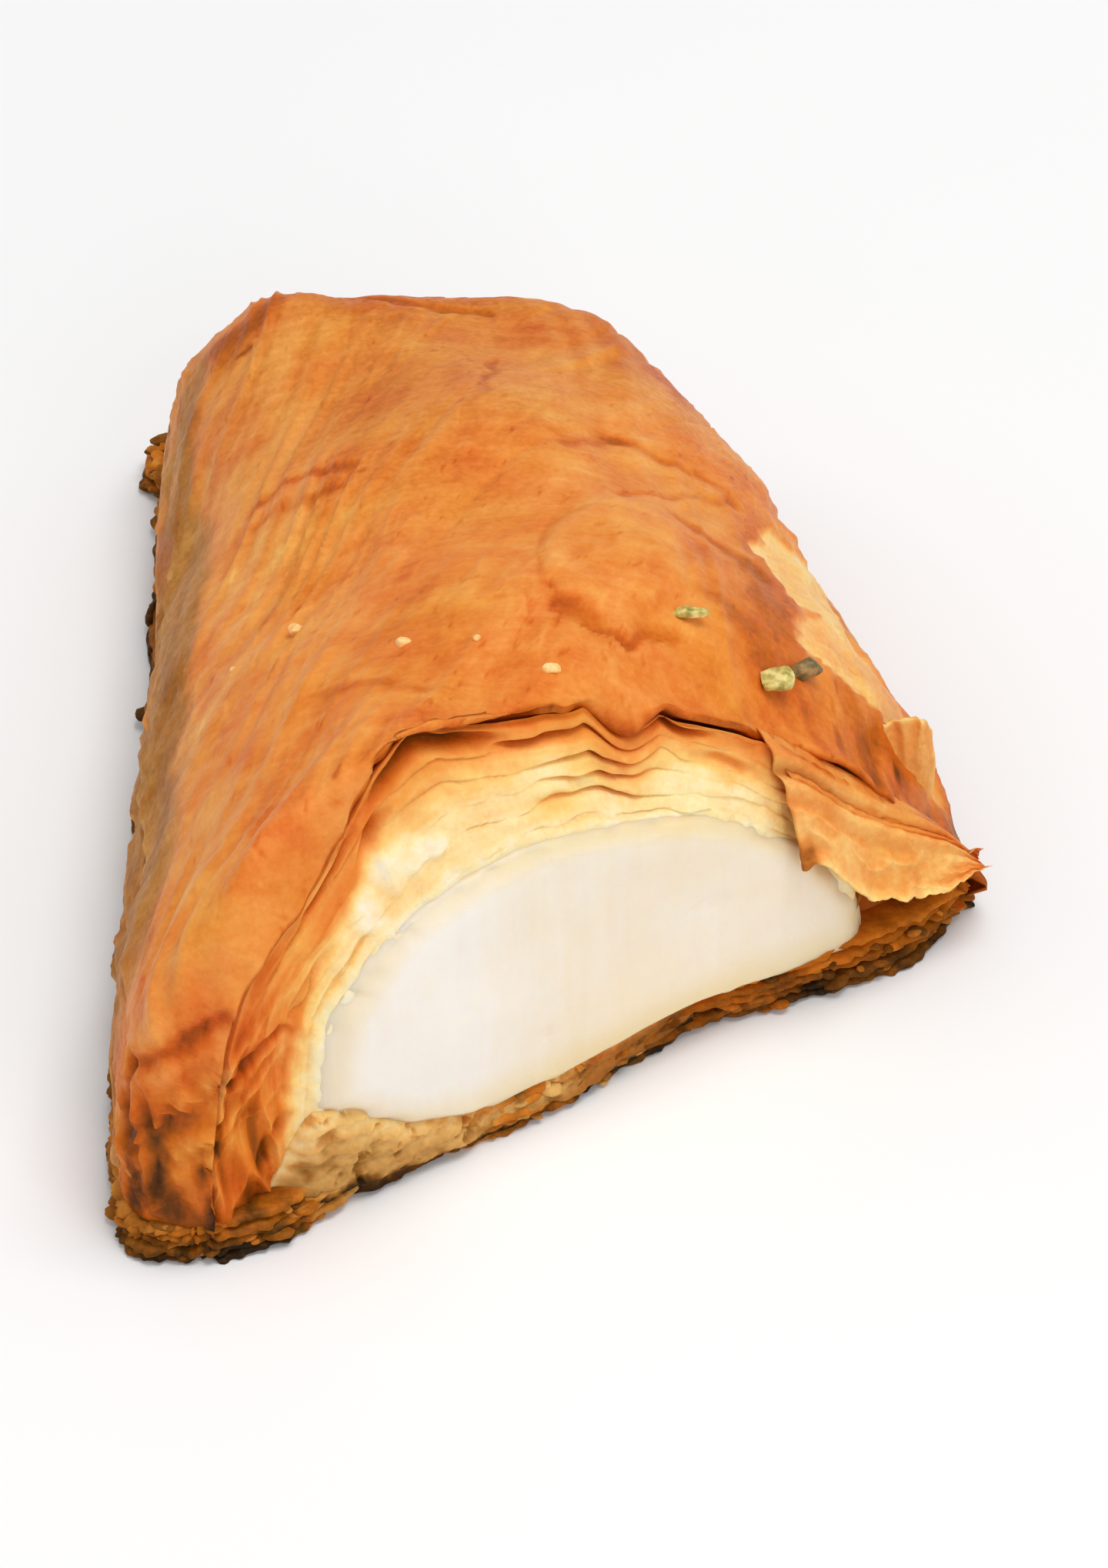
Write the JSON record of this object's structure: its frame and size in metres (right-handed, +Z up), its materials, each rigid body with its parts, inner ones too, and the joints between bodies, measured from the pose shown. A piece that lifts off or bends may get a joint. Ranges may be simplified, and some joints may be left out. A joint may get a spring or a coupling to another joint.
{
  "type": "cut half of a warbat pastry with cream",
  "caption": "Cut half of a baked phyllo parcel: glazed wrinkled crust, thin sheets at the cut, thick white cream inside, pistachio bits on top.",
  "frame": {"origin": "middle of the footprint's box, on the surface that the piece rests on", "axes": "+Z up; +Y from the pinched tip towards the folded back, along the straight left side; +X to the right; the knife cut faces the front and right"},
  "size_m": [0.0662, 0.0946, 0.0364],
  "materials": {
    "crust": "baked phyllo with a thin satin syrup glaze",
    "cream": "smooth clotted cream"
  },
  "bodies": {
    "root": {"pastry": "crust", "cream": "cream"}
  },
  "joints": []
}
